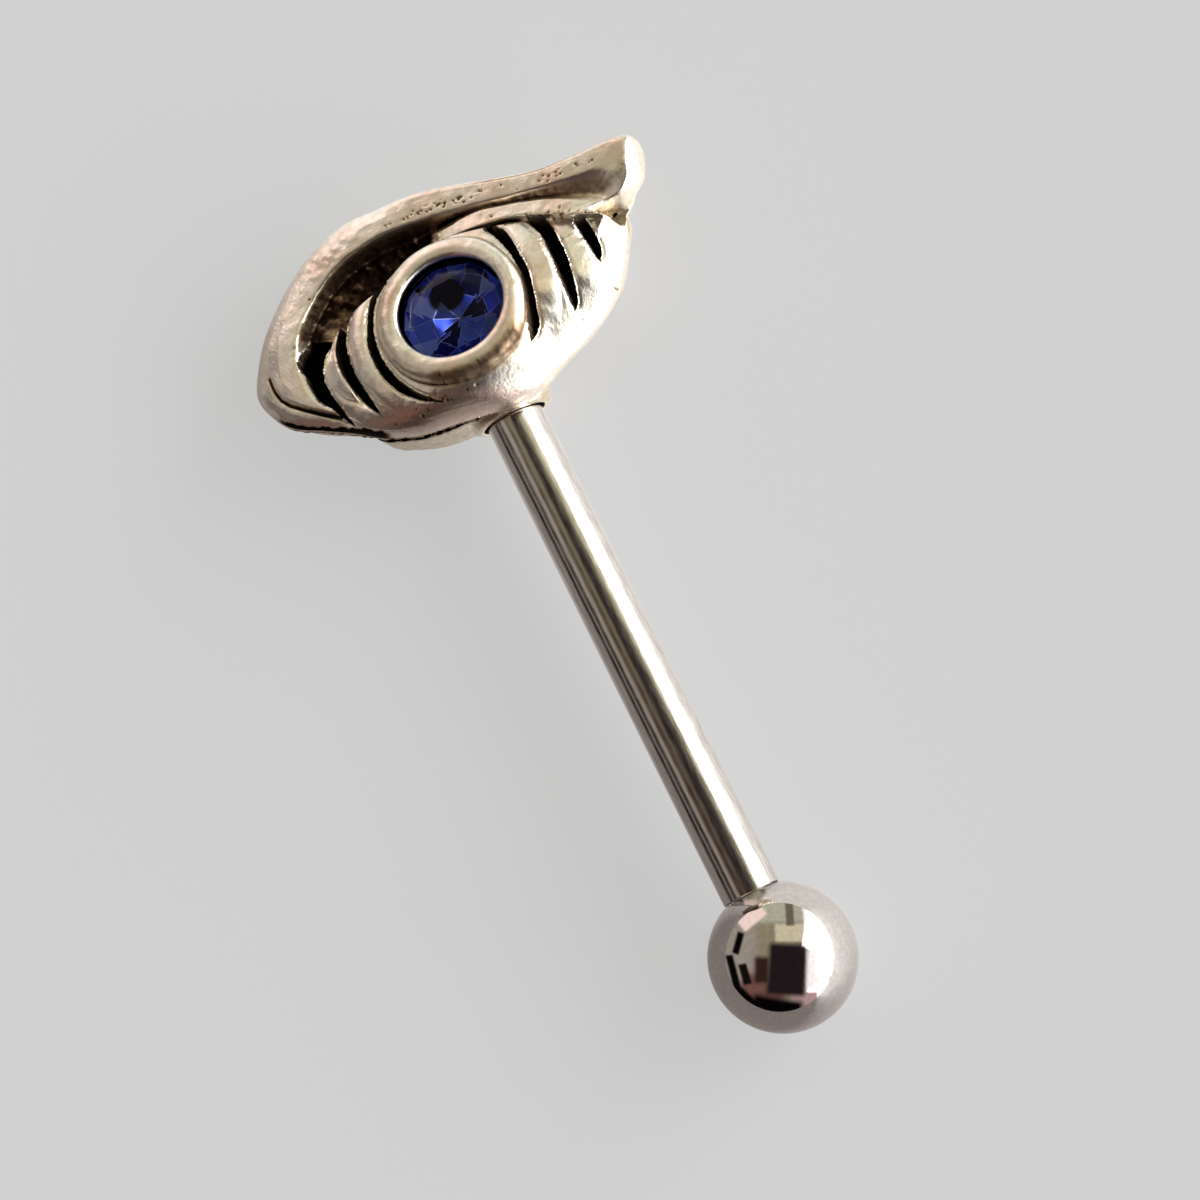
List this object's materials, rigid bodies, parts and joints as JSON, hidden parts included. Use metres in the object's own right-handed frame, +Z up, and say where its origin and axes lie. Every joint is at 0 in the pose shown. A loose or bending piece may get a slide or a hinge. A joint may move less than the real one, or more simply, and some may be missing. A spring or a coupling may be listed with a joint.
{
  "type": "eyebrow barbell",
  "caption": "Straight body jewellery barbell with a cast eye-shaped end set with a round blue stone, and a plain screw-on ball at the other end.",
  "frame": {"origin": "middle of the whole barbell's footprint, on the surface that it lies on", "axes": "+Z up from that surface, bar along Y with the ball at its -Y end and the eye at its +Y end, +X towards the eye's pointed tail"},
  "size_m": [0.0093, 0.019, 0.0034],
  "materials": {
    "cast_silver": "cast silver, oxidised in the recesses, worn bright on the high places",
    "blue_glass": "faceted foil-backed glass, deep royal blue",
    "surgical_steel": "drawn and polished bar",
    "polished_steel": "mirror polish"
  },
  "bodies": {
    "head_and_bar": {"eye_head": "cast_silver", "stone": "blue_glass", "bar": "surgical_steel"},
    "ball": {"ball": "polished_steel"}
  },
  "joints": [
    {"name": "ball_off", "type": "slide", "parent": "head_and_bar", "child": "ball", "axis": [0, -1, 0], "range_m": [0, 0.004]}
  ]
}
